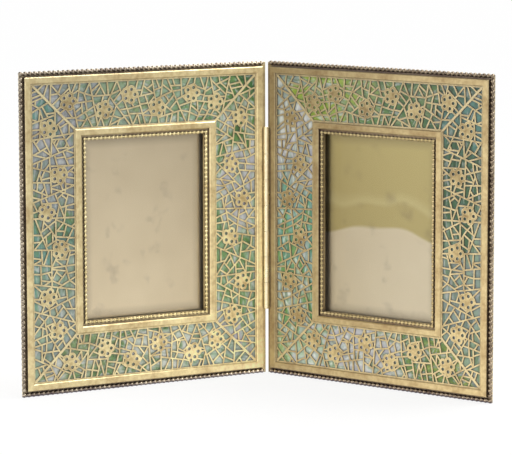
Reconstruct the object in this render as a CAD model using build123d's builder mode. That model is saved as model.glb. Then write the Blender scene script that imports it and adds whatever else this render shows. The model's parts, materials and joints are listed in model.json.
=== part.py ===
from build123d import *
import math
import os

# Hinged double photo frame. Millimetres, +Z up, standing on its two lower edges.
# The origin is on the table, in the middle of the box around the open frame.
# Each leaf is drawn on its own upright plane: x runs along the leaf, y is the
# height above the table and z is the level in front of the hinge pin's axis.

# The leaves
leaf_height = 240.0
leaf_width = 207.1
leaf_turn = 34.0
open_sides = {"left": -1, "right": 1}

# Layers of one leaf, counted back from the top of the border bars
axis_ahead_of_face = 2.4
bar_top_above_flange = 3.4
lattice_sink = 1.2
lattice_thickness = 0.8
art_glass_thickness = 2.6
back_plate_thickness = 1.6
picture_glass_thickness = 1.5
picture_room = 1.5
slide_thickness = 1.0

# Widths across one leaf
flange_past_axis = 2.6
bar_from_axis = 1.1
pearl_overhang = 1.3
back_plate_inset = 3.0
pearl_margin = 4.4
hinge_bar_width = 5.5
bar_width = 5.0
side_field_width = 35.7
end_field_width = 34.6
band_width = 5.1
ledge_width = 3.6
ledge_drop = 2.6
bar_bevel = 0.6
band_bevel = 0.8

# Beaded wires
border_pearl_radius = 1.7
border_pearl_sink = 0.3
border_neck_radius = 0.8
border_pearl_pitch = 3.9
border_pearl_first = 1.5
sight_pearl_radius = 1.25
sight_pearl_sink = 0.2
sight_pearl_overhang = 0.2
sight_neck_radius = 0.5
sight_pearl_pitch = 3.45

# Pierced lattice: cracked ice with five-petalled blossoms
line_width = 1.1
mitre_line_width = 0.9
cell_width = 7.4
smallest_edge = 0.3
petal_count = 5
petal_ring_radius = 4.2
petal_radius = 3.1
petal_eye_radius = 1.25
flower_heart_radius = 2.6

# Where a crack leaves the longest edge of a cell, and how far it leans, as shares
crack_low_share = 0.32
crack_spread_share = 0.36
crack_lean_share = 1.1
golden_share = (math.sqrt(5) - 1) / 2

# Where blossoms sit along a panel and across it, as shares of its length and width
flower_along_shares = [0.1, 0.26, 0.43, 0.58, 0.74, 0.9]
flower_across_shares = [0.58, 0.36, 0.64, 0.33, 0.62, 0.4]
panel_seeds = {"top": 3, "bottom": 5, "hinge_side": 7, "outer_side": 11}

# Picture glass and the slide behind it
pane_cover = 3.0
pane_play = 0.2
slide_cover = 2.0
slide_play = 0.3
pull_length = 30.0
pull_depth = 5.0
rail_wall = 2.4
rail_lip = 3.0
rail_lip_thickness = 1.0
clip_thickness = 0.3
clip_width = 5.0
clip_reach = 1.6
clip_height_share = 0.25

# Screws through the back plate
screw_radius = 0.8
screw_head_radius = 1.6
screw_head_height = 0.9
screw_length = 3.6
screw_play = 0.05
screw_slot_width = 0.4
screw_slot_depth = 0.35

# Hinge
hinge_length = 138.0
knuckle_count = 7
knuckle_gap = 0.3
knuckle_radius = 1.9
pin_radius = 0.85
pin_play = 0.06
pin_head_radius = 1.6
pin_head_height = 0.8
hinge_plate_thickness = 0.7
hinge_plate_drop = 0.1
hinge_web_past_axis = 0.1
hinge_tab_from_axis = 0.35
rivet_count = 6
rivet_radius = 0.5
rivet_head_radius = 0.9
rivet_head_height = 0.4
rivet_depth = 1.4

# One overrun for every cut that has to run clear of a surface
overrun = 1.0

# Levels in front of the hinge axis, all negative
face_level = -axis_ahead_of_face
flange_level = face_level - bar_top_above_flange
lattice_level = face_level - lattice_sink - lattice_thickness
glass_level = lattice_level - art_glass_thickness
back_level = glass_level - back_plate_thickness
ledge_level = face_level - ledge_drop
pane_level = glass_level - picture_glass_thickness
slide_level = back_level - picture_room - slide_thickness
lip_level = slide_level - slide_play - rail_lip_thickness

# Distances from the hinge axis along a leaf, and heights above the table
flange_near = -flange_past_axis
leaf_far = flange_near + leaf_width
flange_far = leaf_far - pearl_overhang
flange_top = leaf_height - pearl_overhang
bar_near = bar_from_axis
bar_far = leaf_far - pearl_margin
field_near = bar_near + hinge_bar_width
field_far = bar_far - bar_width
band_near = field_near + side_field_width
band_far = field_far - side_field_width
middle = (band_near + band_far) / 2
mid_height = leaf_height / 2
bar_height = leaf_height - 2 * pearl_margin
field_height = bar_height - 2 * bar_width
band_height = field_height - 2 * end_field_width
band_inner_height = band_height - 2 * band_width
band_inner_width = band_far - band_near - 2 * band_width
sight_width = band_inner_width - 2 * ledge_width
sight_height = band_inner_height - 2 * ledge_width
pane_width = sight_width + 2 * pane_cover
pane_height = sight_height + 2 * pane_cover
slide_width = pane_width + 2 * (pane_play + slide_cover)
slide_height = pane_height + 2 * (pane_play + slide_cover)
slide_foot = mid_height - slide_height / 2
rail_foot = slide_foot - slide_play - rail_wall

# The box around the open frame sets how far the hinge axis stands behind the origin
turn_sin = math.sin(math.radians(leaf_turn))
turn_cos = math.cos(math.radians(leaf_turn))
pearl_level = flange_level + border_pearl_radius - border_pearl_sink
pearl_line_far = leaf_far - border_pearl_radius
front_reach = pearl_line_far * turn_sin + pearl_level * turn_cos + border_pearl_radius
back_reach = flange_past_axis * turn_sin - back_level * turn_cos
hinge_back = (front_reach - back_reach) / 2


def leaf_plane(side, level=0.0):
    """The upright plane of a leaf, at a level in front of the hinge axis."""
    along = (turn_cos, -side * turn_sin, 0)
    front = (-side * turn_sin, -turn_cos, 0)
    return Plane(origin=(0, hinge_back, 0), x_dir=along, z_dir=front).offset(level)


def floor_plane(side, height):
    """A level plane at the hinge axis: x along the leaf, y towards its back."""
    along = (turn_cos, -side * turn_sin, 0)
    return Plane(origin=(0, hinge_back, height), x_dir=along, z_dir=(0, 0, 1))


def front_axis(side):
    """The direction in which a leaf faces."""
    return Axis((0, hinge_back, 0), (-side * turn_sin, -turn_cos, 0))


def foremost_edges(part, side):
    """The edges around the faces that lie furthest forward on a leaf."""
    return part.faces().sort_by(front_axis(side))[-1].edges()


def save(piece, name):
    """Labels a finished piece and writes it under its own name."""
    piece.part.label = name
    export_step(piece.part, f"parts/{name}.step")


def make_face_frame(side, name):
    """The front casting: a plain flange all round with a raised, bevelled bar."""
    flange_middle = side * (flange_near + flange_far) / 2
    bar_middle = side * (bar_near + bar_far) / 2
    with BuildPart() as frame:
        with BuildSketch(leaf_plane(side, glass_level)):
            with Locations((flange_middle, flange_top / 2)):
                Rectangle(flange_far - flange_near, flange_top)
            with Locations((side * middle, mid_height)):
                Rectangle(field_far - field_near, field_height, mode=Mode.SUBTRACT)
        extrude(amount=flange_level - glass_level)
        with BuildSketch(leaf_plane(side, glass_level)):
            with Locations((bar_middle, mid_height)):
                Rectangle(bar_far - bar_near, bar_height)
            with Locations((side * middle, mid_height)):
                Rectangle(field_far - field_near, field_height, mode=Mode.SUBTRACT)
        extrude(amount=face_level - glass_level)
        chamfer(foremost_edges(frame, side), bar_bevel)
        screw_hole_depth = screw_length - back_plate_thickness + overrun
        with BuildSketch(leaf_plane(side, glass_level)):
            with Locations(*screw_places(side)):
                Circle(screw_radius + screw_play)
        extrude(amount=screw_hole_depth, mode=Mode.SUBTRACT)
        with BuildSketch(rivet_plane(side, bar_near)):
            with Locations(*rivet_places(side)):
                Circle(rivet_radius + screw_play)
        extrude(amount=rivet_depth, mode=Mode.SUBTRACT)
    save(frame, f"{name}_face_frame")


def screw_places(side):
    """Screw centres under the bars: the four corners and the middle of each long run."""
    near = side * (bar_near + hinge_bar_width / 2)
    far = side * (bar_far - bar_width / 2)
    low = pearl_margin + bar_width / 2
    high = leaf_height - low
    corners = [(near, low), (near, high), (far, low), (far, high)]
    middles = [(far, mid_height), (side * middle, low), (side * middle, high)]
    return corners + middles


def rivet_plane(side, distance):
    """A plane across the leaf at a distance from the hinge axis, facing away from it."""
    out = Vector(turn_cos * side, -turn_sin, 0)
    foot = Vector(0, hinge_back, 0) + out * distance
    return Plane(origin=foot, x_dir=(0, 0, 1), z_dir=out)


def rivet_places(side):
    """Rivet centres on that plane: heights along the hinge at one level."""
    step = hinge_length / rivet_count
    first = mid_height - hinge_length / 2 + step / 2
    level = (face_level - hinge_plate_drop - hinge_plate_thickness + flange_level) / 2
    return [(first + place * step, side * level) for place in range(rivet_count)]


def panel_corners(edge):
    """The mitred outline of one side of the field: outer edge first, then inner edge."""
    outer_low = mid_height - field_height / 2
    outer_high = mid_height + field_height / 2
    inner_low = mid_height - band_height / 2
    inner_high = mid_height + band_height / 2
    outer = {
        "low near": (field_near, outer_low),
        "low far": (field_far, outer_low),
        "high near": (field_near, outer_high),
        "high far": (field_far, outer_high),
    }
    inner = {
        "low near": (band_near, inner_low),
        "low far": (band_far, inner_low),
        "high near": (band_near, inner_high),
        "high far": (band_far, inner_high),
    }
    ends = {
        "top": ("high near", "high far"),
        "bottom": ("low near", "low far"),
        "hinge_side": ("low near", "high near"),
        "outer_side": ("low far", "high far"),
    }
    first, last = ends[edge]
    return [Vector(*outer[first]), Vector(*outer[last]), Vector(*inner[last]), Vector(*inner[first])]


def on_leaf(points, side):
    """Points given outwards from the hinge, as points on the leaf's own plane."""
    return [(side * point.X, point.Y) for point in points]


def clipped(cell, point, inward):
    """The part of a convex outline on the inward side of a line through a point."""
    kept = []
    for number, corner in enumerate(cell):
        previous = cell[number - 1]
        before = inward.dot(previous - point)
        here = inward.dot(corner - point)
        if before * here < 0:
            kept.append(previous + (corner - previous) * (before / (before - here)))
        if here >= 0:
            kept.append(corner)
    return kept


def inset(cell, distances):
    """A convex outline with each edge moved inwards by its own distance."""
    heart = sum(cell, Vector(0, 0)) / len(cell)
    shrunk = cell
    for number, distance in enumerate(distances):
        start = cell[number]
        run = cell[(number + 1) % len(cell)] - start
        inward = Vector(-run.Y, run.X).normalized()
        if inward.dot(heart - start) < 0:
            inward = -inward
        shrunk = clipped(shrunk, start + inward * distance, inward)
    steps = [(point - shrunk[number - 1]).length for number, point in enumerate(shrunk)]
    return [point for point, step in zip(shrunk, steps) if step > smallest_edge]


def area_of(cell):
    """The area inside an outline."""
    pairs = [(cell[number - 1], cell[number]) for number in range(len(cell))]
    return abs(sum(before.X * here.Y - here.X * before.Y for before, here in pairs)) / 2


def cracked(cell, number):
    """Cuts a cell across its longest edge, and its parts again, until they are small."""
    if area_of(cell) < cell_width ** 2:
        return [cell]
    wander = (number * golden_share) % 1
    lean = ((number * golden_share ** 2) % 1 - 1 / 2) * crack_lean_share
    edges = [(cell[place - 1], cell[place]) for place in range(len(cell))]
    start, end = max(edges, key=lambda edge: (edge[1] - edge[0]).length)
    point = start + (end - start) * (crack_low_share + crack_spread_share * wander)
    run = (end - start).normalized()
    across = (run + Vector(-run.Y, run.X) * lean).normalized()
    parts = cracked(clipped(cell, point, across), 2 * number)
    return parts + cracked(clipped(cell, point, -across), 2 * number + 1)


def flower_centres(edge):
    """Blossom centres of a panel, kept between its two mitres."""
    outer_start, outer_end, inner_end, inner_start = panel_corners(edge)
    centres = []
    for along, across in zip(flower_along_shares, flower_across_shares):
        start = outer_start + (inner_start - outer_start) * across
        end = outer_end + (inner_end - outer_end) * across
        centres.append(start + (end - start) * along)
    return centres


def make_lattice(side, name, edge):
    """One mitred panel of pierced brass, between the bar and the inner band."""
    outline = panel_corners(edge)
    half_line = line_width / 2
    rim = [half_line, mitre_line_width - half_line]
    cells = cracked(inset(outline, rim + rim), panel_seeds[edge])
    holes = [inset(cell, [half_line] * len(cell)) for cell in cells]
    wires = [Wire.make_polygon(on_leaf(hole, side)) for hole in holes if len(hole) > 2]
    flowers = on_leaf(flower_centres(edge), side)
    with BuildPart() as lattice:
        with BuildSketch(leaf_plane(side, lattice_level)):
            add(Face(Wire.make_polygon(on_leaf(outline, side)), wires))
            with Locations(*flowers):
                Circle(flower_heart_radius)
                with PolarLocations(petal_ring_radius, petal_count):
                    Circle(petal_radius)
            with Locations(*flowers):
                with PolarLocations(petal_ring_radius, petal_count):
                    Circle(petal_eye_radius, mode=Mode.SUBTRACT)
        extrude(amount=lattice_thickness)
    save(lattice, f"{name}_{edge}_lattice")


def make_art_glass(side, name, edge):
    """A mitred strip of marbled glass that lies behind the lattice."""
    with BuildPart() as strip:
        with BuildSketch(leaf_plane(side, glass_level)):
            with BuildLine():
                Polyline(*on_leaf(panel_corners(edge), side), close=True)
            make_face()
        extrude(amount=art_glass_thickness)
    save(strip, f"{name}_{edge}_art_glass")


def make_inner_band(side, name):
    """The bevelled band round the picture, with a sunk ledge for the small pearls."""
    with BuildPart() as band:
        with BuildSketch(leaf_plane(side, glass_level)):
            with Locations((side * middle, mid_height)):
                Rectangle(band_far - band_near, band_height)
                Rectangle(sight_width, sight_height, mode=Mode.SUBTRACT)
        extrude(amount=ledge_level - glass_level)
        with BuildSketch(leaf_plane(side, glass_level)):
            with Locations((side * middle, mid_height)):
                Rectangle(band_far - band_near, band_height)
                Rectangle(band_inner_width, band_inner_height, mode=Mode.SUBTRACT)
        extrude(amount=face_level - glass_level)
        chamfer(foremost_edges(band, side), band_bevel)
    save(band, f"{name}_inner_band")


def make_back_plate(side, name):
    """The flat plate that closes the back, with a window for the picture glass."""
    plate_width = leaf_width - back_plate_inset
    plate_height = leaf_height - back_plate_inset
    with BuildPart() as plate:
        with BuildSketch(leaf_plane(side, back_level)):
            with Locations((side * (flange_near + plate_width / 2), plate_height / 2)):
                Rectangle(plate_width, plate_height)
            with Locations((side * middle, mid_height)):
                Rectangle(pane_width + 2 * pane_play, pane_height + 2 * pane_play, mode=Mode.SUBTRACT)
            with Locations(*screw_places(side)):
                Circle(screw_radius + screw_play, mode=Mode.SUBTRACT)
        extrude(amount=back_plate_thickness)
        for place in screw_places(side):
            with BuildSketch(leaf_plane(side, back_level)):
                with Locations(place):
                    Circle(screw_head_radius + screw_play)
            with BuildSketch(leaf_plane(side, back_level + screw_head_height)):
                with Locations(place):
                    Circle(screw_radius + screw_play)
            loft(mode=Mode.SUBTRACT)
    save(plate, f"{name}_back_plate")


def make_screws(side, name):
    """Countersunk slotted screws that hold the back plate to the front casting."""
    with BuildPart() as screws:
        for place in screw_places(side):
            with BuildSketch(leaf_plane(side, back_level)):
                with Locations(place):
                    Circle(screw_head_radius)
            with BuildSketch(leaf_plane(side, back_level + screw_head_height)):
                with Locations(place):
                    Circle(screw_radius)
            loft()
            with BuildSketch(leaf_plane(side, back_level)):
                with Locations(place):
                    Circle(screw_radius)
            extrude(amount=screw_length)
            with BuildSketch(leaf_plane(side, back_level)):
                with Locations(place):
                    Rectangle(2 * screw_head_radius + overrun, screw_slot_width)
            extrude(amount=screw_slot_depth, mode=Mode.SUBTRACT)
    save(screws, f"{name}_back_screws")


def make_picture_glass(side, name):
    """The clear pane in front of the picture."""
    with BuildPart() as pane:
        with BuildSketch(leaf_plane(side, pane_level)):
            with Locations((side * middle, mid_height)):
                Rectangle(pane_width, pane_height)
        extrude(amount=picture_glass_thickness)
    save(pane, f"{name}_picture_glass")


def make_glass_clips(side, name):
    """Four flat clips on the back plate that keep the pane in its window."""
    across = pane_width / 2 + pane_play
    up = pane_height * clip_height_share
    clip_length = clip_reach + slide_cover
    offset = across + (slide_cover - clip_reach) / 2
    with BuildPart() as clips:
        with BuildSketch(leaf_plane(side, back_level - clip_thickness)):
            with Locations((side * middle, mid_height)):
                with GridLocations(2 * offset, 2 * up, 2, 2):
                    Rectangle(clip_length, clip_width)
        extrude(amount=clip_thickness)
    save(clips, f"{name}_glass_clips")


def make_picture_back(side, name):
    """The brass plate behind the picture, which slides up and out by its folded pull."""
    with BuildPart() as slide:
        with BuildSketch(leaf_plane(side, slide_level)):
            with Locations((side * middle, mid_height)):
                Rectangle(slide_width, slide_height)
        extrude(amount=slide_thickness)
        with BuildSketch(leaf_plane(side, slide_level - pull_depth)):
            with Locations((side * middle, mid_height + slide_height / 2 - slide_thickness / 2)):
                Rectangle(pull_length, slide_thickness)
        extrude(amount=pull_depth)
    save(slide, f"{name}_picture_back")


def make_side_rail(side, name, rail_name, direction):
    """An upright rail behind the slide: a wall beside it and a lip behind it."""
    wall_centre = side * middle + direction * (slide_width / 2 + slide_play + rail_wall / 2)
    lip_width = rail_wall + slide_play + rail_lip
    lip_centre = side * middle + direction * (slide_width / 2 - rail_lip + lip_width / 2)
    rail_length = slide_height + slide_play
    rail_middle = slide_foot - slide_play + rail_length / 2
    with BuildPart() as rail:
        with BuildSketch(leaf_plane(side, lip_level)):
            with Locations((wall_centre, rail_middle)):
                Rectangle(rail_wall, rail_length)
        extrude(amount=back_level - lip_level)
        with BuildSketch(leaf_plane(side, lip_level)):
            with Locations((lip_centre, rail_middle)):
                Rectangle(lip_width, rail_length)
        extrude(amount=rail_lip_thickness)
    save(rail, f"{name}_{rail_name}")


def make_foot_rail(side, name):
    """The lower rail, on which the slide stands."""
    rail_length = slide_width + 2 * (slide_play + rail_wall)
    with BuildPart() as rail:
        with BuildSketch(leaf_plane(side, lip_level)):
            with Locations((side * middle, rail_foot + rail_wall / 2)):
                Rectangle(rail_length, rail_wall)
        extrude(amount=back_level - lip_level)
        lip_height = slide_play + rail_lip
        with BuildSketch(leaf_plane(side, lip_level)):
            with Locations((side * middle, rail_foot + rail_wall + lip_height / 2)):
                Rectangle(slide_width - 2 * rail_lip, lip_height)
        extrude(amount=rail_lip_thickness)
    save(rail, f"{name}_foot_rail")


def knuckle_heights(side):
    """Foot and length of each barrel piece that belongs to a leaf."""
    pitch = hinge_length / knuckle_count
    foot = mid_height - hinge_length / 2 + knuckle_gap / 2
    first = 0 if side < 0 else 1
    return [(foot + number * pitch, pitch - knuckle_gap) for number in range(first, knuckle_count, 2)]


def make_hinge_leaf(side, name):
    """An angle strip riveted to the bar's wall, with barrel pieces on tabs along its web."""
    strip_front = axis_ahead_of_face + hinge_plate_drop
    strip_back = axis_ahead_of_face + bar_top_above_flange
    web_back = strip_front + hinge_plate_thickness
    wall_middle = side * (bar_near - hinge_plate_thickness / 2)
    web_width = bar_near + hinge_web_past_axis
    web_middle = side * (bar_near - web_width / 2)
    tab_middle = side * (hinge_tab_from_axis + hinge_plate_thickness / 2)
    with BuildPart() as leaf:
        with BuildSketch(floor_plane(side, mid_height - hinge_length / 2)):
            with Locations((wall_middle, (strip_front + strip_back) / 2)):
                Rectangle(hinge_plate_thickness, strip_back - strip_front)
            with Locations((web_middle, (strip_front + web_back) / 2)):
                Rectangle(web_width, hinge_plate_thickness)
        extrude(amount=hinge_length)
        for foot, length in knuckle_heights(side):
            with BuildSketch(floor_plane(side, foot)):
                with Locations((tab_middle, web_back / 2)):
                    Rectangle(hinge_plate_thickness, web_back)
                Circle(knuckle_radius)
                Circle(pin_radius + pin_play, mode=Mode.SUBTRACT)
            extrude(amount=length)
        with BuildSketch(rivet_plane(side, bar_near - hinge_plate_thickness)):
            with Locations(*rivet_places(side)):
                Circle(rivet_radius + screw_play)
        extrude(amount=hinge_plate_thickness, mode=Mode.SUBTRACT)
    save(leaf, f"{name}_hinge_leaf")


def make_rivets(side, name):
    """Flat-headed rivets that hold a hinge leaf to the bar."""
    plate_face = bar_near - hinge_plate_thickness
    with BuildPart() as rivets:
        with BuildSketch(rivet_plane(side, plate_face)):
            with Locations(*rivet_places(side)):
                Circle(rivet_radius)
        extrude(amount=hinge_plate_thickness + rivet_depth)
        with BuildSketch(rivet_plane(side, plate_face - rivet_head_height)):
            with Locations(*rivet_places(side)):
                Circle(rivet_head_radius)
        extrude(amount=rivet_head_height)
    save(rivets, f"{name}_hinge_rivets")


def make_hinge_pin():
    """The pin through the barrel, with a peened head at each end."""
    foot = mid_height - hinge_length / 2 + knuckle_gap / 2
    length = hinge_length - knuckle_gap
    with BuildPart() as pin:
        with BuildSketch(floor_plane(1, foot)):
            Circle(pin_radius)
        extrude(amount=length)
        for head_foot in (foot - pin_head_height, foot + length):
            with BuildSketch(floor_plane(1, head_foot)):
                Circle(pin_head_radius)
            extrude(amount=pin_head_height)
    save(pin, "hinge_pin")


def bead_outline(count, pitch, radius, neck_radius, lead, tail):
    """Half the outline of a beaded wire, from its first bead's centre along x."""
    shoulder = math.sqrt(radius ** 2 - neck_radius ** 2)
    start = -shoulder - lead
    end = (count - 1) * pitch + shoulder + tail
    Line((start, 0), (start, neck_radius))
    if lead:
        Line((start, neck_radius), (-shoulder, neck_radius))
    for number in range(count):
        centre = number * pitch
        ThreePointArc((centre - shoulder, neck_radius), (centre, radius), (centre + shoulder, neck_radius))
        if number < count - 1:
            Line((centre + shoulder, neck_radius), (centre + pitch - shoulder, neck_radius))
    if tail:
        Line((end - tail, neck_radius), (end, neck_radius))
    Line((end, neck_radius), (end, 0))
    Line((end, 0), (start, 0))


def bead_plane(side, along, height, level, upright):
    """A plane whose x runs along a row of beads from its first bead, and y to the front."""
    leaf = leaf_plane(side, level)
    origin = leaf.from_local_coords(Vector(side * along, height, 0))
    run = leaf.y_dir if upright else leaf.x_dir * side
    return Plane(origin=origin, x_dir=run, z_dir=run.cross(leaf.z_dir))


def bead_row(plane, count, pitch, radius, neck_radius, lead=0.0, tail=0.0):
    """Turns one row of beads about its own line, inside the piece being made."""
    with BuildSketch(plane) as outline:
        with BuildLine():
            bead_outline(count, pitch, radius, neck_radius, lead, tail)
        make_face()
    revolve(outline.sketch, axis=Axis(plane.origin, plane.x_dir))


def make_border_pearls(side, name):
    """Beaded wires on the flange: along the top, the bottom and the outer side."""
    run = pearl_line_far - border_pearl_first
    gaps = round(run / border_pearl_pitch)
    pitch = run / gaps
    low = border_pearl_radius
    high = leaf_height - border_pearl_radius
    flat = leaf_plane(side, flange_level)
    for edge, height in (("top", high), ("bottom", low)):
        with BuildPart() as row:
            plane = bead_plane(side, border_pearl_first, height, pearl_level, False)
            bead_row(plane, gaps + 1, pitch, border_pearl_radius, border_neck_radius)
            split(bisect_by=flat, keep=Keep.TOP)
        save(row, f"{name}_{edge}_border_pearls")
    rises = round((high - low) / border_pearl_pitch)
    rise = (high - low) / rises
    with BuildPart() as row:
        plane = bead_plane(side, pearl_line_far, low + rise, pearl_level, True)
        bead_row(plane, rises - 1, rise, border_pearl_radius, border_neck_radius)
        split(bisect_by=flat, keep=Keep.TOP)
    save(row, f"{name}_outer_side_border_pearls")


def make_sight_pearls(side, name):
    """The ring of small beads on the ledge round the picture."""
    line_width_half = sight_width / 2 + sight_pearl_radius - sight_pearl_overhang
    line_height_half = sight_height / 2 + sight_pearl_radius - sight_pearl_overhang
    level = ledge_level + sight_pearl_radius - sight_pearl_sink
    across_gaps = round(2 * line_width_half / sight_pearl_pitch)
    up_gaps = round(2 * line_height_half / sight_pearl_pitch)
    across = 2 * line_width_half / across_gaps
    up = 2 * line_height_half / up_gaps
    shoulder = math.sqrt(sight_pearl_radius ** 2 - sight_neck_radius ** 2)
    sizes = (sight_pearl_radius, sight_neck_radius)
    with BuildPart() as ring:
        for along in (middle - line_width_half, middle + line_width_half):
            plane = bead_plane(side, along, mid_height - line_height_half, level, True)
            bead_row(plane, up_gaps + 1, up, *sizes)
        for height in (mid_height - line_height_half, mid_height + line_height_half):
            plane = bead_plane(side, middle - line_width_half + across, height, level, False)
            bead_row(plane, across_gaps - 1, across, *sizes, lead=across - shoulder, tail=across - shoulder)
        split(bisect_by=leaf_plane(side, ledge_level), keep=Keep.TOP)
    save(ring, f"{name}_sight_pearls")


os.makedirs("parts", exist_ok=True)
make_hinge_pin()
for name, side in open_sides.items():
    make_face_frame(side, name)
    make_inner_band(side, name)
    make_back_plate(side, name)
    make_screws(side, name)
    make_picture_glass(side, name)
    make_glass_clips(side, name)
    make_picture_back(side, name)
    make_side_rail(side, name, "hinge_side_rail", -side)
    make_side_rail(side, name, "outer_side_rail", side)
    make_foot_rail(side, name)
    make_hinge_leaf(side, name)
    make_rivets(side, name)
    make_border_pearls(side, name)
    make_sight_pearls(side, name)
    for edge in panel_seeds:
        make_lattice(side, name, edge)
        make_art_glass(side, name, edge)
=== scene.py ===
import json
import math

import bpy
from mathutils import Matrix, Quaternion, Vector


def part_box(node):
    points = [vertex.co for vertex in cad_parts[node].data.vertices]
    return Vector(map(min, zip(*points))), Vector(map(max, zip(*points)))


# Looks of the hinged double photo frame, in metres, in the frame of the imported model.

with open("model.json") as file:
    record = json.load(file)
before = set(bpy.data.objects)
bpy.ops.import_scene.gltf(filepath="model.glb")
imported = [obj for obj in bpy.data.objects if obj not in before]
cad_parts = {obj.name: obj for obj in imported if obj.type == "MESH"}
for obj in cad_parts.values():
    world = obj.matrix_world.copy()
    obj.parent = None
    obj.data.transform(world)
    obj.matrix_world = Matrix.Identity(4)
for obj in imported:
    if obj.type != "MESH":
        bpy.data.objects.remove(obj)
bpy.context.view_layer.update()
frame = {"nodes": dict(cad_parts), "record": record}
nodes = frame["nodes"]

# The photograph's view
photo_width = 512
focal_pixels = 3000.0
sensor_width = 36.0
camera_distance = 2.2327
camera_azimuth = math.radians(4.254)
camera_elevation = math.radians(7.701)
camera_roll = math.radians(-0.118)
camera_aim = Vector((-0.00399, 0.0, 0.11969))

# Studio: a pale floor, a white room with a dimmer ceiling, and soft lamps
floor_width = 14.0
floor_colour = (0.92, 0.92, 0.91, 1.0)
near_glow_share = 0.86
far_glow_share = 0.99
near_floor = 0.3
far_floor = 0.9
white = (1.0, 1.0, 1.0, 1.0)
glow_strength = 1.0
world_level = 0.66
ceiling_starts = 0.3
ceiling_full = 0.75
ceiling_level = 0.55
lamps = {
    "key_lamp": {"place": (1.0, -1.5, 1.3), "width": 0.9, "watts": 12.0},
    "fill_lamp": {"place": (-1.6, -1.3, 0.55), "width": 1.0, "watts": 10.0},
    "top_lamp": {"place": (0.75, 0.3, 1.6), "width": 0.9, "watts": 23.0},
    "rim_lamp": {"place": (-0.3, 1.6, 1.2), "width": 1.0, "watts": 12.0},
}
lamp_aim = Vector((0.0, 0.0, 0.12))

# A leaf: how far it is turned back, how far the hinge pin lies behind the frame's middle, the
# picture's place along and up the leaf, and half its clear opening
leaf_turn = math.radians(34.0)
hinge_back = 0.05144
sight_along = 0.10085
sight_height = 0.12
sight_half_width = 0.0499
sight_half_height = 0.0673
leaf_sides = {"left": -1, "right": 1}

# Nodes of the shaders: the sockets of a colour mix, and the layers and roughness of noise
mix_inputs = (0, 6, 7)
mix_output = 2
rich_detail = 5.0
full_detail = 4.0
usual_detail = 3.0
soft_detail = 2.0
smooth_detail = 1.0
noise_roughness = 0.55
noise_middle = 0.5
crevice_samples = 8
bump_strength = 0.5

# Brass: worn colour, aged colour, roughness where clean, how metallic it is, how dark the
# dirt and painted shade in a recess get and how far they spread from it, how much painted light
# or shade it gets at the hinge, at the outer side and at the top of the frame, how many patches of
# patina there are to a metre, and how uneven it is
brass_finishes = {
    "cast_brass": {
        "pale": (0.72, 0.61, 0.34), "aged": (0.44, 0.325, 0.16), "rough": 0.38, "metallic": 0.72,
        "grime": 0.9, "reach": 0.0028, "near": 1.0, "far": 1.0, "head": 0.84,
        "patches": 45.0, "uneven": 1.0,
    },
    "beaded_brass": {
        "pale": (0.64, 0.55, 0.42), "aged": (0.19, 0.14, 0.11), "rough": 0.16, "metallic": 1.0,
        "grime": 1.0, "reach": 0.0045, "near": 1.0, "far": 0.66, "head": 0.84,
        "patches": 90.0, "uneven": 0.3,
    },
    "sight_beads": {
        "pale": (0.78, 0.67, 0.38), "aged": (0.42, 0.33, 0.14), "rough": 0.28, "metallic": 0.8,
        "grime": 1.0, "reach": 0.0022, "near": 1.0, "far": 1.0, "head": 1.0,
        "patches": 60.0, "uneven": 0.3,
    },
    "pierced_brass": {
        "pale": (0.72, 0.61, 0.33), "aged": (0.36, 0.26, 0.12), "rough": 0.38, "metallic": 0.72,
        "grime": 0.85, "reach": 0.0028, "near": 1.22, "far": 1.0, "head": 0.66,
        "patches": 75.0, "uneven": 1.0,
    },
    "sheet_brass": {
        "pale": (0.56, 0.45, 0.25), "aged": (0.4, 0.31, 0.17), "rough": 0.42, "metallic": 0.72,
        "grime": 0.8, "reach": 0.0028, "near": 1.0, "far": 1.0, "head": 1.0,
        "patches": 38.0, "uneven": 1.0,
    },
    "hinge_brass": {
        "pale": (0.93, 0.86, 0.64), "aged": (0.78, 0.67, 0.44), "rough": 0.24, "metallic": 0.9,
        "grime": 0.3, "reach": 0.0014, "near": 1.0, "far": 1.0, "head": 1.0,
        "patches": 60.0, "uneven": 0.05,
    },
    "screw_brass": {
        "pale": (0.5, 0.39, 0.22), "aged": (0.33, 0.24, 0.13), "rough": 0.38, "metallic": 0.72,
        "grime": 0.9, "reach": 0.0028, "near": 1.0, "far": 1.0, "head": 1.0,
        "patches": 200.0, "uneven": 1.0,
    },
}

# Painted light and shade: each leaf's metal darkened as painted shade (the right leaf) or tinted (the
# hinge), how much its brass and glass are brightened or darkened as painted light and shade by the
# hinge, at the outer side, at the foot and at the top, and where these places are
leaf_tints_and_shades = {"left": (1.0, 1.0, 1.0), "right": (0.79, 0.735, 0.68), "both": (1.0, 0.96, 0.9)}
brass_painted_light = {
    "left": {"near": 1.46, "far": 0.98, "foot": 1.18, "head": 1.0},
    "right": {"near": 0.82, "far": 1.2, "foot": 1.18, "head": 0.88},
    "both": {"near": 1.1, "far": 1.1, "foot": 1.08, "head": 1.0},
}
glass_painted_light = {
    "left": {"near": 1.55, "far": 1.04, "foot": 0.9, "head": 0.66},
    "right": {"near": 1.75, "far": 0.88, "foot": 1.0, "head": 0.62},
}
near_along = 0.0
far_along = 0.16
foot_height = 0.0
head_height = 0.24

# Patina, dirt and painted shade in recesses, worn edges and fine pits
dirt_and_shade_colour = (0.045, 0.027, 0.055, 1.0)
edge_colour = (0.9, 0.8, 0.52, 1.0)
mottle_scale = 300.0
pit_scale = 2600.0
patch_range = (0.4, 0.64)
patch_share = 0.55
mottle_range = (0.38, 0.66)
mottle_share = 0.45
edge_reach = 0.0007
edge_range = (0.62, 0.95)
edge_share = 0.4
dirt_and_shade_range = (0.2, 0.85)
mottle_height = 0.00004
pit_height = 0.00001
rough_aged_rise = 0.14
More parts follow.
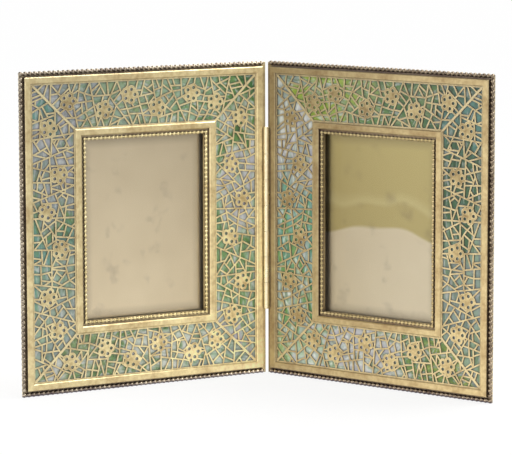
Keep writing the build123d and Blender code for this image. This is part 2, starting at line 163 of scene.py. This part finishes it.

# The brass plates behind the picture glass: the front has clouds, stains, painted shade along the
# edges of the opening, painted light at the foot and painted shade at the top and, on the right
# leaf, a painted reflection: a darker upper tone that ends in a wave, with a thin line above the wave
plate_looks = {
    "left": {
        "pale": (0.76, 0.605, 0.435), "clouded": (0.6, 0.465, 0.32), "rough": 0.3,
        "foot": 1.26, "head": 0.7, "upper_share": 0.0,
    },
    "right": {
        "pale": (0.6, 0.49, 0.365), "clouded": (0.54, 0.435, 0.32), "rough": 0.34,
        "foot": 1.2, "head": 0.92, "upper_share": 1.0,
    },
}
plate_metallic = 0.85
plate_front_range = (0.4, 0.6)
plate_back_colour = (0.56, 0.47, 0.27, 1.0)
plate_reflection_colour = (0.43, 0.335, 0.155, 1.0)
plate_reflection_thread_colour = (0.53, 0.43, 0.23, 1.0)
plate_reflection_thread_share = 0.6
plate_edge_shade_colour = (0.1, 0.075, 0.06, 1.0)
plate_edge_shade_reach = 0.008
plate_edge_shade_share = 0.4
cloud_scale = 24.0
stain_scale = 60.0
stain_range = (0.58, 0.76)
stain_share = 0.25
wave_scale = 15.0
wave_distortion = 0.3
wave_height = 0.045
wave_level = 0.111
wave_starts = wave_level + wave_height / 2
wave_softness = 0.003
thread_rise = 0.022
thread_width = 0.004
thread_fade = 0.008

# Marbled glass: each strip is cut from its own sheet, with these colours along it
glass_colours = {
    "milk": (0.62, 0.65, 0.62, 1.0),
    "lilac": (0.44, 0.44, 0.49, 1.0),
    "fog": (0.29, 0.36, 0.34, 1.0),
    "mint": (0.32, 0.46, 0.31, 1.0),
    "teal": (0.13, 0.33, 0.27, 1.0),
    "sage": (0.25, 0.35, 0.15, 1.0),
    "green": (0.13, 0.27, 0.07, 1.0),
    "deep": (0.05, 0.16, 0.05, 1.0),
    "lime": (0.34, 0.46, 0.07, 1.0),
}
glass_sheets = {
    "left_top": ["lilac", "fog", "mint", "sage", "mint", "green", "deep"],
    "left_bottom": ["milk", "sage", "green", "milk", "mint", "fog"],
    "left_outer_side": ["mint", "fog", "mint", "teal", "green", "fog", "lilac", "teal"],
    "left_hinge_side": ["lilac", "mint", "green", "mint", "lilac", "milk", "green", "deep"],
    "right_top": ["fog", "lime", "lime", "sage", "green", "deep", "teal"],
    "right_bottom": ["sage", "mint", "lilac", "milk", "green", "lime", "fog"],
    "right_hinge_side": ["sage", "fog", "green", "teal", "fog", "lilac", "milk", "fog"],
    "right_outer_side": ["sage", "mint", "fog", "mint", "deep", "deep", "teal", "teal"],
}
sheet_scale = 60.0
sheet_distortion = 1.0
sheet_warp = 1.2
streak_stretch = 0.35
milk_scale = 170.0
milk_distortion = 1.6
milk_range = (0.52, 0.64)
milk_share = 0.65
shade_scale = 85.0
shade_distortion = 2.0
shade_range = (0.5, 0.64)
shade_share = 0.9
shade_tint = (0.5, 0.58, 0.44, 1.0)
lattice_shadow_reach = 0.0026
lattice_shadow_range = (0.3, 0.95)
lattice_shadow_share = 0.9
ripple_scale = 120.0
ripple_height = 0.0005
glass_roughness = 0.16
glass_index = 1.5
glass_coat = 0.3
glass_coat_roughness = 0.08

# The picture glass: what it lets through and how it shines
pane_tint = (0.97, 0.985, 0.975, 1.0)
pane_roughness = 0.03
pane_index = 1.2
pane_wave_scale = 15.0
pane_wave_height = 0.0005
pane_wave_strength = 0.2


class Shader:
    """The nodes of a material or a world, made one after another and linked by socket."""

    def __init__(self, owner, output="ShaderNodeOutputMaterial"):
        owner.use_nodes = True
        self.owner = owner
        self.tree = owner.node_tree
        self.tree.nodes.clear()
        self.output = self.node(output)

    def node(self, kind, values=None, links=None, **settings):
        """Adds a node: its settings, its sockets' own values and its links from other sockets."""
        made = self.tree.nodes.new(kind)
        for key, value in settings.items():
            setattr(made, key, value)
        for socket, value in (values or {}).items():
            made.inputs[socket].default_value = value
        for socket, source in (links or {}).items():
            self.tree.links.new(source, made.inputs[socket])
        return made

    def fill(self, socket, value):
        """Links a socket to another one, or gives it a value of its own."""
        if isinstance(value, bpy.types.NodeSocket):
            self.tree.links.new(value, socket)
        else:
            socket.default_value = value

    def math(self, operation, *inputs):
        """One sum on sockets or plain values."""
        made = self.node("ShaderNodeMath", operation=operation)
        for place, value in enumerate(inputs):
            self.fill(made.inputs[place], value)
        return made.outputs["Value"]

    def spread(self, source, low, high, to_low=0.0, to_high=1.0):
        """Stretches a value from one range to another and holds it there."""
        values = {"From Min": low, "From Max": high, "To Min": to_low, "To Max": to_high}
        made = self.node("ShaderNodeMapRange", values, {"Value": source}, clamp=True)
        return made.outputs["Result"]

    def blend(self, share, first, second, mode="MIX"):
        """Mixes two colours by a share."""
        made = self.node("ShaderNodeMix", data_type="RGBA", blend_type=mode)
        for place, value in zip(mix_inputs, (share, first, second)):
            self.fill(made.inputs[place], value)
        return made.outputs[mix_output]

    def position(self):
        """Where the surface is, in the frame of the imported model."""
        return self.node("ShaderNodeTexCoord").outputs["Object"]

    def height(self, where):
        """How far a place or a direction is up."""
        return self.node("ShaderNodeSeparateXYZ", links={"Vector": where}).outputs["Z"]

    def noise(self, where, scale, detail=usual_detail, distortion=0.0):
        """Cloudy grain of a given scale, from 0 to 1."""
        values = {"Scale": scale, "Detail": detail, "Distortion": distortion}
        values["Roughness"] = noise_roughness
        return self.node("ShaderNodeTexNoise", values, {"Vector": where}).outputs["Fac"]

    def crevice(self, reach, inside=False):
        """1 in the open and less in recesses; inside, 1 on flat metal and less at its edges."""
        facts = {"inside": inside, "samples": crevice_samples}
        return self.node("ShaderNodeAmbientOcclusion", {"Distance": reach}, **facts).outputs["AO"]

    def bump(self, height, distance, strength=bump_strength, after=None):
        """Raises the surface by a height from 0 to 1, times a distance."""
        values = {"Strength": strength, "Distance": distance}
        made = self.node("ShaderNodeBump", values, {"Height": height})
        if after:
            self.fill(made.inputs["Normal"], after)
        return made.outputs["Normal"]

    def along_leaf(self, where, side):
        """How far out along a leaf from the hinge pin's axis."""
        outwards = (side * math.cos(leaf_turn), -math.sin(leaf_turn), 0.0)
        dot = self.node("ShaderNodeVectorMath", {1: outwards}, {0: where}, operation="DOT_PRODUCT")
        return self.math("ADD", dot.outputs["Value"], hinge_back * math.sin(leaf_turn))

    def grey(self, level):
        """A grey as bright as a level."""
        links = {"Red": level, "Green": level, "Blue": level}
        return self.node("ShaderNodeCombineColor", links=links).outputs["Color"]

    def graded(self, colour, where, side, tones):
        """A colour made brighter or darker along a leaf and up it: painted light and shade."""
        along = self.along_leaf(where, leaf_sides.get(side, 0))
        out = self.spread(along, near_along, far_along, tones["near"], tones["far"])
        up = self.spread(self.height(where), foot_height, head_height, tones["foot"], tones["head"])
        return self.blend(1.0, colour, self.grey(self.math("MULTIPLY", out, up)), "MULTIPLY")

    def finish(self, surface):
        """Links the last socket to the output and gives back the material or world."""
        self.tree.links.new(surface, self.output.inputs["Surface"])
        return self.owner


def new_shader(name):
    """An empty material of its own."""
    return Shader(bpy.data.materials.new(name))


def with_leaf_shade(colour, tone):
    """A colour darkened by a leaf's painted shade, or tinted, with full opacity."""
    return (*(value * share for value, share in zip(colour, tone)), 1.0)


def brass_material(name, side, finish):
    """Gilt brass: patchy patina, soiling and painted shade in the recesses, rubbed bright edges, fine
    pits, and painted light and shade along the leaf and up it.
    """
    shader = new_shader(name)
    where = shader.position()
    # The right leaf's metal is darkened throughout as painted shade; the hinge's is only tinted
    tone = leaf_tints_and_shades[side]
    patches = shader.noise(where, finish["patches"], detail=rich_detail)
    patches = shader.spread(patches, *patch_range)
    mottle = shader.noise(where, mottle_scale, detail=full_detail)
    mottle = shader.spread(mottle, *mottle_range)
    patches = shader.math("MULTIPLY", patches, patch_share)
    age = shader.math("MULTIPLY_ADD", mottle, mottle_share, patches)
    metal = shader.blend(age, with_leaf_shade(finish["pale"], tone), with_leaf_shade(finish["aged"], tone))
    # Painted light and shade: the brass made brighter or darker by the hinge, at the outer side, at the
    # foot and at the top, times this finish's own share
    tones = dict(brass_painted_light[side])
    for part in ("near", "far", "head"):
        tones[part] = tones[part] * finish[part]
    metal = shader.graded(metal, where, side, tones)
    rubbed = shader.spread(shader.crevice(edge_reach, inside=True), *edge_range, edge_share, 0.0)
    metal = shader.blend(rubbed, metal, edge_colour)
    # Dark purple in the recesses, where shade falls: dirt and painted shade
    dirt_and_shade_mask = shader.spread(shader.crevice(finish["reach"]), *dirt_and_shade_range, finish["grime"], 0.0)
    metal = shader.blend(dirt_and_shade_mask, metal, dirt_and_shade_colour)
    rough_aged = finish["rough"] + rough_aged_rise
    roughness = shader.spread(age, 0.0, patch_share + mottle_share, finish["rough"], rough_aged)
    uneven = finish["uneven"]
    bumps = shader.noise(where, mottle_scale, detail=soft_detail)
    bumps = shader.bump(bumps, mottle_height * uneven)
    pits = shader.noise(where, pit_scale, detail=soft_detail)
    pits = shader.bump(pits, pit_height * uneven, after=bumps)
    surface = shader.node(
        "ShaderNodeBsdfPrincipled",
        {"Metallic": finish["metallic"]},
        {"Base Color": metal, "Roughness": roughness, "Normal": pits},
    )
    return shader.finish(surface.outputs["BSDF"])


def plate_material(name, side, look):
    """A polished brass plate: faint clouds, painted light and shade up it, and in front a painted
    reflection (a darker tone above a slow wave) and painted shade at the opening's edges.
    """
    shader = new_shader(name)
    where = shader.position()
    height = shader.height(where)
    plain = (1.0, 1.0, 1.0)
    clouds = shader.noise(where, cloud_scale, detail=soft_detail)
    metal = shader.blend(clouds, with_leaf_shade(look["pale"], plain), with_leaf_shade(look["clouded"], plain))
    # Brighter towards the foot and darker towards the top: painted light and shade
    up = shader.spread(height, foot_height, head_height, look["foot"], look["head"])
    metal = shader.blend(1.0, metal, shader.grey(up), "MULTIPLY")
    forward = (-side * math.sin(leaf_turn), -math.cos(leaf_turn), 0.0)
    facing = shader.node("ShaderNodeTexCoord").outputs["Normal"]
    front = shader.node("ShaderNodeVectorMath", {1: forward}, {0: facing}, operation="DOT_PRODUCT")
    front = shader.spread(front.outputs["Value"], *plate_front_range)
    # Painted reflection on the front of the right plate: a darker tone above a slow wave, with a thin
    # line above the wave
    waver = shader.noise(where, wave_scale, detail=smooth_detail, distortion=wave_distortion)
    wave = shader.math("MULTIPLY_ADD", waver, wave_height, height)
    reflection = shader.spread(wave, wave_starts, wave_starts + wave_softness)
    reflection = shader.math("MULTIPLY", reflection, front)
    reflection = shader.math("MULTIPLY", reflection, look["upper_share"])
    metal = shader.blend(reflection, metal, plate_reflection_colour)
    thread_low = wave_starts + thread_rise
    thread_high = thread_low + thread_width
    begun = shader.spread(wave, thread_low, thread_high)
    ended = shader.spread(wave, thread_high, thread_high + thread_fade)
    reflection_thread = shader.math("MULTIPLY", shader.math("SUBTRACT", begun, ended), front)
    reflection_thread = shader.math("MULTIPLY", reflection_thread, look["upper_share"] * plate_reflection_thread_share)
    metal = shader.blend(reflection_thread, metal, plate_reflection_thread_colour)
    metal = shader.blend(front, plate_back_colour, metal)
    stains = shader.noise(where, stain_scale, detail=rich_detail)
    stains = shader.spread(stains, *stain_range, 0.0, stain_share)
    metal = shader.blend(stains, metal, dirt_and_shade_colour)
    # Painted shade along the edges of the opening, on the front
    across = shader.math("SUBTRACT", shader.along_leaf(where, side), sight_along)
    across = shader.math("ABSOLUTE", across)
    rise = shader.math("SUBTRACT", height, sight_height)
    rise = shader.math("ABSOLUTE", rise)
    to_side = shader.math("SUBTRACT", sight_half_width, across)
    to_end = shader.math("SUBTRACT", sight_half_height, rise)
    to_edge = shader.math("MINIMUM", to_side, to_end)
    edge_shade = shader.spread(to_edge, 0.0, plate_edge_shade_reach, plate_edge_shade_share, 0.0)
    edge_shade = shader.math("MULTIPLY", edge_shade, front)
    metal = shader.blend(edge_shade, metal, plate_edge_shade_colour)
    surface = shader.node(
        "ShaderNodeBsdfPrincipled",
        {"Metallic": plate_metallic, "Roughness": look["rough"]},
        {"Base Color": metal},
    )
    return shader.finish(surface.outputs["BSDF"])


def marbled_glass_material(name, side, strip, seed):
    """Opal glass: a sheet's own run of colours, warped, with milky and darker streaks, painted light
    and shade along the leaf and up it, and a painted shadow beside the lattice lines.
    """
    shader = new_shader(name)
    where = shader.position()
    low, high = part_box(strip)
    upright = strip.endswith("side_art_glass")
    axis = 2 if upright else 0
    stretch = (1.0, 1.0, streak_stretch) if upright else (streak_stretch, 1.0, 1.0)
    spot = shader.node("ShaderNodeSeparateXYZ", links={"Vector": where}).outputs[axis]
    share = shader.spread(spot, low[axis], high[axis])
    cut = {"Location": (seed, seed, seed), "Scale": stretch}
    sheet = shader.node("ShaderNodeMapping", cut, {"Vector": where}).outputs["Vector"]
    warp = shader.noise(sheet, sheet_scale, detail=full_detail, distortion=sheet_distortion)
    warp = shader.math("SUBTRACT", warp, noise_middle)
    share = shader.math("MULTIPLY_ADD", warp, sheet_warp, share)
    ramp = shader.node("ShaderNodeValToRGB", links={"Fac": share})
    names = glass_sheets[strip.replace("_art_glass", "")]
    stops = ramp.color_ramp.elements
    while len(stops) < len(names):
        stops.new(1.0)
    for number, colour in enumerate(names):
        stops[number].position = number / (len(names) - 1)
        stops[number].color = glass_colours[colour]
    colour = ramp.outputs["Color"]
    milk = shader.noise(sheet, milk_scale, distortion=milk_distortion)
    milk = shader.spread(milk, *milk_range, 0.0, milk_share)
    colour = shader.blend(milk, colour, glass_colours["milk"])
    shade = shader.noise(sheet, shade_scale, detail=full_detail, distortion=shade_distortion)
    shade = shader.spread(shade, *shade_range, 0.0, shade_share)
    colour = shader.blend(shade, colour, shade_tint, "MULTIPLY")
    # Painted light and shade: the glass made brighter by the hinge and darker at the top, and a little
    # changed at the outer side and the foot
    colour = shader.graded(colour, where, side, glass_painted_light[side])
    # Painted shadow of the lattice lines on the glass beside them
    lattice_shadow = shader.spread(shader.crevice(lattice_shadow_reach), *lattice_shadow_range, lattice_shadow_share, 0.0)
    colour = shader.blend(lattice_shadow, colour, dirt_and_shade_colour)
    ripples = shader.noise(sheet, ripple_scale, detail=soft_detail)
    ripples = shader.bump(ripples, ripple_height)
    values = {
        "Roughness": glass_roughness,
        "IOR": glass_index,
        "Coat Weight": glass_coat,
        "Coat Roughness": glass_coat_roughness,
    }
    links = {"Base Color": colour, "Normal": ripples}
    surface = shader.node("ShaderNodeBsdfPrincipled", values, links)
    return shader.finish(surface.outputs["BSDF"])


def clear_glass_material(name):
    """Thin clear glass, faintly waved: a sheen over what lies behind it."""
    shader = new_shader(name)
    waves = shader.noise(shader.position(), pane_wave_scale, detail=smooth_detail)
    waves = shader.bump(waves, pane_wave_height, strength=pane_wave_strength)
    sheen = shader.node("ShaderNodeBsdfGlossy", {"Roughness": pane_roughness}, {"Normal": waves})
    see_through = shader.node("ShaderNodeBsdfTransparent", {"Color": pane_tint})
    fresnel = shader.node("ShaderNodeFresnel", {"IOR": pane_index}).outputs["Fac"]
    inside = shader.node("ShaderNodeNewGeometry").outputs["Backfacing"]
    share = shader.math("MULTIPLY", fresnel, shader.math("SUBTRACT", 1.0, inside))
    mixed = shader.node("ShaderNodeMixShader", links={0: share})
    shader.tree.links.new(see_through.outputs["BSDF"], mixed.inputs[1])
    shader.tree.links.new(sheen.outputs["BSDF"], mixed.inputs[2])
    return shader.finish(mixed.outputs["Shader"])


def dress(node_name, material):
    """Gives a CAD node one material in each of its slots."""
    for slot in nodes[node_name].material_slots:
        slot.material = material


def dress_nodes():
    """Makes each leaf's own metals, which differ in painted light and shade, and one for the hinge, and
    gives every node its material.
    """
    slots = {row["node"]: row["material_slot"] for row in frame["record"]["subparts"]}
    clear_glass = clear_glass_material("clear_glass")
    hinge_metal = brass_material("hinge_brass_colour", "both", brass_finishes["hinge_brass"])
    metals = {}
    for side, direction in leaf_sides.items():
        for slot, finish in brass_finishes.items():
            if slot != "hinge_brass":
                metals[side, slot] = brass_material(f"{side}_{slot}", side, finish)
        metals[side, "polished_brass"] = plate_material(f"{side}_plate", direction, plate_looks[side])
    for number, node_name in enumerate(sorted(nodes)):
        side = "right" if node_name.startswith("right") else "left"
        slot = "sight_beads" if node_name.endswith("sight_pearls") else slots[node_name]
        if slot == "marbled_glass":
            glass_name = f"{node_name}_colour"
            dress(node_name, marbled_glass_material(glass_name, side, node_name, float(number)))
        elif slot == "clear_glass":
            dress(node_name, clear_glass)
        elif slot == "hinge_brass":
            dress(node_name, hinge_metal)
        else:
            dress(node_name, metals[side, slot])


def seen_directly(shader):
    """1 for rays from the camera and for those that metal and glass send on."""
    path = shader.node("ShaderNodeLightPath").outputs
    seen = shader.math("MAXIMUM", path["Is Camera Ray"], path["Is Glossy Ray"])
    return shader.math("MAXIMUM", seen, path["Is Transmission Ray"])


def make_floor():
    """A plain pale floor that keeps the object's shadow."""
    half = floor_width / 2
    corners = [(-half, -half, 0), (half, -half, 0), (half, half, 0), (-half, half, 0)]
    mesh = bpy.data.meshes.new("floor")
    mesh.from_pydata(corners, [], [(0, 1, 2, 3)])
    floor = bpy.data.objects.new("floor", mesh)
    bpy.context.scene.collection.objects.link(floor)
    shader = new_shader("floor")
    matt = shader.node("ShaderNodeBsdfDiffuse", {"Color": floor_colour})
    glow = shader.node("ShaderNodeEmission", {"Color": white, "Strength": glow_strength})
    distance = shader.node("ShaderNodeVectorMath", links={0: shader.position()}, operation="LENGTH")
    distance = distance.outputs["Value"]
    reach = shader.spread(distance, near_floor, far_floor, near_glow_share, far_glow_share)
    share = shader.math("MULTIPLY", seen_directly(shader), reach)
    mixed = shader.node("ShaderNodeMixShader", links={0: share})
    shader.tree.links.new(matt.outputs["BSDF"], mixed.inputs[1])
    shader.tree.links.new(glow.outputs["Emission"], mixed.inputs[2])
    mesh.materials.append(shader.finish(mixed.outputs["Shader"]))


def make_world():
    """White behind the object, a dimmer ceiling, and an even soft light from all round."""
    world = bpy.data.worlds.new("studio")
    bpy.context.scene.world = world
    shader = Shader(world, "ShaderNodeOutputWorld")
    direction = shader.node("ShaderNodeTexCoord").outputs["Generated"]
    overhead = shader.spread(shader.height(direction), ceiling_starts, ceiling_full, 1.0, ceiling_level)
    level = shader.spread(seen_directly(shader), 0.0, 1.0, world_level, 1.0)
    strength = shader.math("MULTIPLY", level, overhead)
    background = shader.node("ShaderNodeBackground", {"Color": white}, {"Strength": strength})
    shader.finish(background.outputs["Background"])


def make_lamps():
    """Square lamps that all point at the middle of the frame."""
    for name, facts in lamps.items():
        light = bpy.data.lights.new(name, "AREA")
        light.energy = facts["watts"]
        light.size = facts["width"]
        lamp = bpy.data.objects.new(name, light)
        bpy.context.scene.collection.objects.link(lamp)
        lamp.location = facts["place"]
        lamp.rotation_mode = "QUATERNION"
        lamp.rotation_quaternion = (lamp_aim - lamp.location).to_track_quat("-Z", "Y")


def make_camera():
    """The photograph's view: its distance, height, lens and slight tilt."""
    cosine = math.cos(camera_elevation)
    rise = math.sin(camera_elevation)
    back = Vector((math.sin(camera_azimuth) * cosine, -math.cos(camera_azimuth) * cosine, rise))
    data = bpy.data.cameras.new("camera")
    data.sensor_width = sensor_width
    data.lens = focal_pixels / photo_width * sensor_width
    camera = bpy.data.objects.new("camera", data)
    bpy.context.scene.collection.objects.link(camera)
    camera.location = camera_aim + back * camera_distance
    camera.rotation_mode = "QUATERNION"
    tilt = Quaternion((0.0, 0.0, 1.0), camera_roll)
    camera.rotation_quaternion = (-back).to_track_quat("-Z", "Y") @ tilt
    bpy.context.scene.camera = camera
    bpy.context.scene.view_settings.view_transform = "Standard"


dress_nodes()
make_floor()
make_world()
make_lamps()
make_camera()
